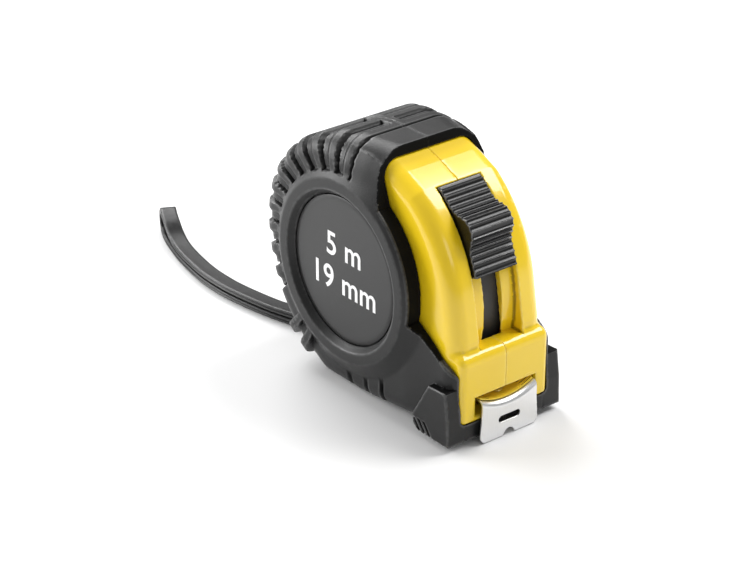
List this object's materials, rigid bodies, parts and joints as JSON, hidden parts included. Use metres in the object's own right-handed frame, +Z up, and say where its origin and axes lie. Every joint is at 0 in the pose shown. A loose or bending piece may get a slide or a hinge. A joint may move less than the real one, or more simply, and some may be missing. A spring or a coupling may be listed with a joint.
{
  "type": "tape measure",
  "caption": "Pocket tape measure: rubber-covered two-part case, sprung reel, cupped steel blade with floating end hook, sliding lock and wrist strap.",
  "frame": {"origin": "on the standing surface, below the middle of the case from heel to end hook, on the seam plane", "axes": "+X the way the blade pulls out, +Z up, Y = 0 the seam between the two case halves"},
  "size_m": [0.1613, 0.0422, 0.0737],
  "materials": {
    "case_plastic": "glossy yellow moulded plastic",
    "grip_rubber": "matte dark grey overmoulded rubber",
    "badge_plastic": "satin dark grey plastic with white size marking",
    "button_plastic": "semi-gloss black moulded plastic",
    "hook_steel": "satin bright steel",
    "plated_steel": "dull plated steel",
    "blade_paint": "yellow lacquered steel strip with printed graduations",
    "reel_plastic": "dark moulded plastic",
    "strap_rubber": "soft dark grey PVC strap"
  },
  "bodies": {
    "case": {"left_shell": "case_plastic", "right_shell": "case_plastic", "left_grip_cover": "grip_rubber", "right_grip_cover": "grip_rubber", "left_badge_disc": "badge_plastic", "right_badge_disc": "badge_plastic", "case_screw_1": "plated_steel", "case_screw_2": "plated_steel", "case_screw_3": "plated_steel", "case_screw_4": "plated_steel", "spindle": "plated_steel", "wrist_strap": "strap_rubber", "strap_pin": "plated_steel"},
    "reel": {"reel_drum": "reel_plastic", "reel_cover": "reel_plastic", "power_spring": "plated_steel", "blade_coil": "blade_paint"},
    "blade": {"blade_lead": "blade_paint", "hook_rivet_front": "hook_steel", "hook_rivet_rear": "hook_steel"},
    "hook": {"end_hook": "hook_steel"},
    "lock": {"lock_button": "button_plastic", "lock_strip": "button_plastic", "brake_pad": "grip_rubber"}
  },
  "joints": [
    {"name": "blade_pull", "type": "slide", "parent": "case", "child": "blade", "axis": [1, 0, 0], "range_m": [0, 5], "stiffness_N_per_m": 0.8, "springref_m": -5},
    {"name": "reel_spin", "type": "hinge", "parent": "case", "child": "reel", "pos_m": [-0.00425, 0, 0.0364], "axis": [0, -1, 0], "continuous": true},
    {"name": "hook_float", "type": "slide", "parent": "blade", "child": "hook", "axis": [1, 0, 0], "range_m": [0, 0.001]},
    {"name": "lock_slide", "type": "hinge", "parent": "case", "child": "lock", "pos_m": [-0.0053, 0, 0.03245], "axis": [0, 1, 0], "range_deg": [0, 10]}
  ],
  "couplings": [
    {"joint": "reel_spin", "follows": "blade_pull", "rad_per_m": 44.2}
  ]
}
